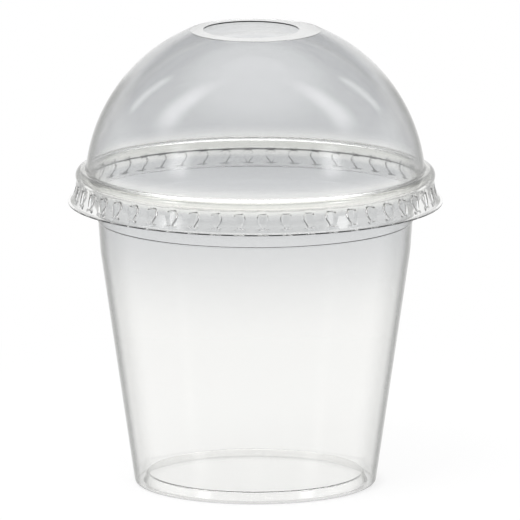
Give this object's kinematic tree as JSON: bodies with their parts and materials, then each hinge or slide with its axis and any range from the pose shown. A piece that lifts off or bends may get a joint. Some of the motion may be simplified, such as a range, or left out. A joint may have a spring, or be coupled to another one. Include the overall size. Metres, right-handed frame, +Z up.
{
  "type": "plastic cup with dome lid",
  "caption": "Clear thermoformed cold-drink cup with a rolled rim and raised base, closed by a press-fit dome lid with a round opening on top.",
  "frame": {"origin": "middle of the plane that the cup's foot stands on", "axes": "+Z up along the cup's axis, -Y the front; one snap lug lies 2.4 degrees to the +X side of -Y"},
  "size_m": [0.1018, 0.1018, 0.1246],
  "materials": {
    "cup_plastic": "clear thermoformed sheet, polished on both sides",
    "lid_plastic": "clear thermoformed sheet, polished on both sides"
  },
  "bodies": {
    "cup": {"cup": "cup_plastic"},
    "lid": {"dome_lid": "lid_plastic"}
  },
  "joints": [
    {"name": "lid_lift", "type": "slide", "parent": "cup", "child": "lid", "axis": [0, 0, 1], "range_m": [0, 0.04]}
  ]
}
